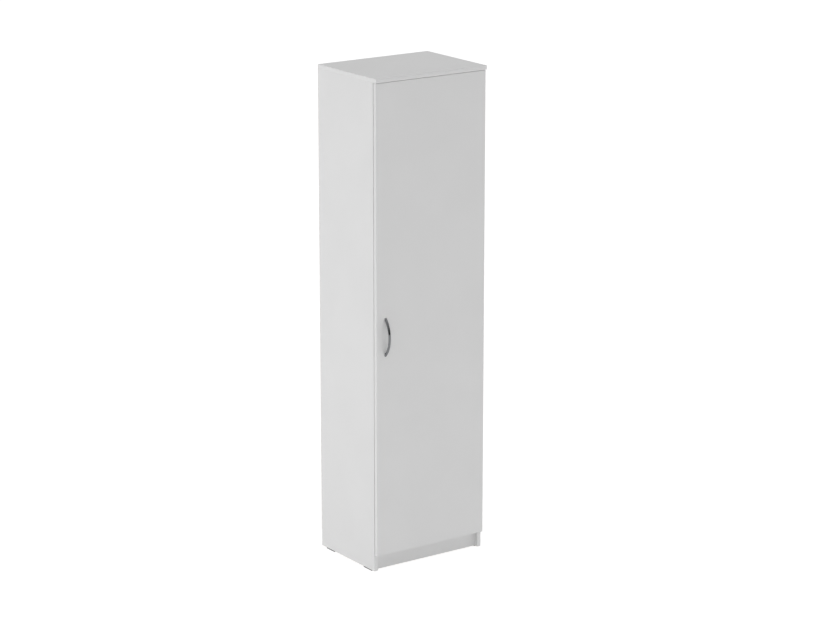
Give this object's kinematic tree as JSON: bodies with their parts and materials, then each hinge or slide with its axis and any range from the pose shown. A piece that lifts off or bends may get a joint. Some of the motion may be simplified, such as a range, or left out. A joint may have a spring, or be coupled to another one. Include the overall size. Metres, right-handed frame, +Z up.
{
  "type": "broom cupboard",
  "caption": "Tall narrow white cupboard with one full-height hinged door, bow handle, hat shelf, plinth and thin back.",
  "frame": {"origin": "on the floor, under the middle of the box round the whole cupboard with its handle", "axes": "+Z up, +Y from the door to the back, +X to the right of someone facing the door"},
  "size_m": [0.5, 0.413, 1.903],
  "materials": {
    "white_board": "white melamine-faced chipboard, satin",
    "edging": "white plastic edge strip",
    "back_fibreboard": "white-lacquered fibreboard, raw brown behind",
    "glide_plastic": "moulded, dark grey",
    "block_plastic": "moulded, off-white",
    "nickel_steel": "nickel-plated",
    "zinc": "die-cast zinc",
    "plated_steel": "zinc-plated",
    "handle_chrome": "polished",
    "beech": "turned beech",
    "felt": "pressed felt"
  },
  "bodies": {
    "carcass": {"back_panel": "back_fibreboard", "bottom_panel": "white_board", "cam_bolts": "zinc", "cam_locks": "zinc", "carcass_edging": "edging", "dowels": "beech", "glide_back_left": "glide_plastic", "glide_back_right": "glide_plastic", "glide_front_left": "glide_plastic", "glide_front_right": "glide_plastic", "hat_shelf": "white_board", "hinge_arm_1": "nickel_steel", "hinge_arm_2": "nickel_steel", "hinge_arm_3": "nickel_steel", "hinge_plate_1": "nickel_steel", "hinge_plate_2": "nickel_steel", "hinge_plate_3": "nickel_steel", "plinth": "white_board", "plinth_blocks": "block_plastic", "shelf_pegs": "plated_steel", "side_left": "white_board", "side_right": "white_board", "top_panel": "white_board"},
    "door": {"door_buffers": "felt", "door_edging": "edging", "door_panel": "white_board", "handle": "handle_chrome", "handle_screws": "plated_steel", "hinge_cup_1": "nickel_steel", "hinge_cup_2": "nickel_steel", "hinge_cup_3": "nickel_steel", "hinge_pins": "nickel_steel"}
  },
  "joints": [
    {"name": "door_hinge", "type": "hinge", "parent": "carcass", "child": "door", "pos_m": [0.2397, -0.1713, 0.97775], "axis": [0, 0, 1], "range_deg": [0, 95]}
  ]
}
